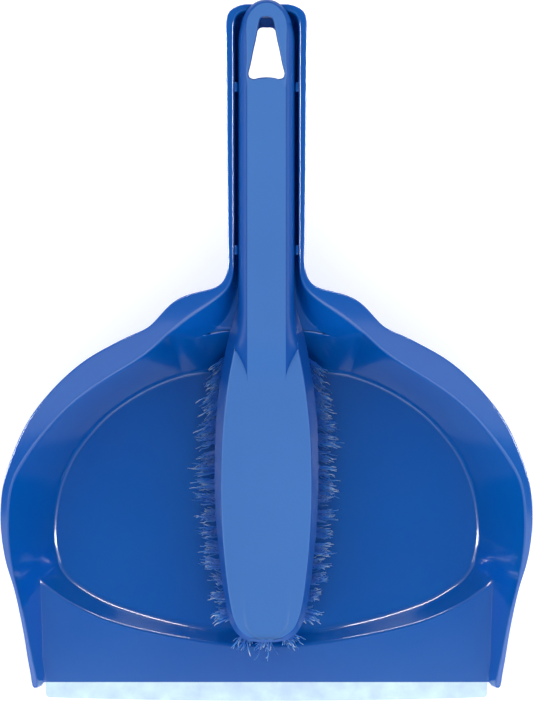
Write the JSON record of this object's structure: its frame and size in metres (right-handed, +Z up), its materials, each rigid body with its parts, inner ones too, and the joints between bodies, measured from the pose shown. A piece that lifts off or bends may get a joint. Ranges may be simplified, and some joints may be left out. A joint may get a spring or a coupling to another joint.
{
  "type": "dust pan and brush set",
  "caption": "Moulded dust pan with a rubber lip and a hollow handle, and a tufted hand brush that clips into the handle and lifts out.",
  "frame": {"origin": "on the ground plane, under the middle of the set's bounding box", "axes": "+X to the right across the pan, +Y from the rubber lip towards the handle's end, +Z up"},
  "size_m": [0.2386, 0.315, 0.0634],
  "materials": {
    "pan_plastic": "blue injection-moulded polypropylene, polished",
    "brush_plastic": "blue injection-moulded polypropylene, finely textured on top",
    "lip_rubber": "pale blue translucent thermoplastic rubber",
    "bristle_fibre": "light blue crimped polyester fibre",
    "staple_wire": "flat steel wire"
  },
  "bodies": {
    "pan": {"dustpan": "pan_plastic", "rubber_lip": "lip_rubber"},
    "brush": {"brush_body": "brush_plastic", "bristles_outer_left": "bristle_fibre", "bristles_inner_left": "bristle_fibre", "bristles_centre": "bristle_fibre", "bristles_inner_right": "bristle_fibre", "bristles_outer_right": "bristle_fibre", "bristles_tip": "bristle_fibre", "staples_outer_left": "staple_wire", "staples_inner_left": "staple_wire", "staples_centre": "staple_wire", "staples_inner_right": "staple_wire", "staples_outer_right": "staple_wire", "staples_tip": "staple_wire"}
  },
  "joints": [
    {"name": "brush_lift", "type": "slide", "parent": "pan", "child": "brush", "axis": [0, 0, 1], "range_m": [0, 0.12]}
  ]
}
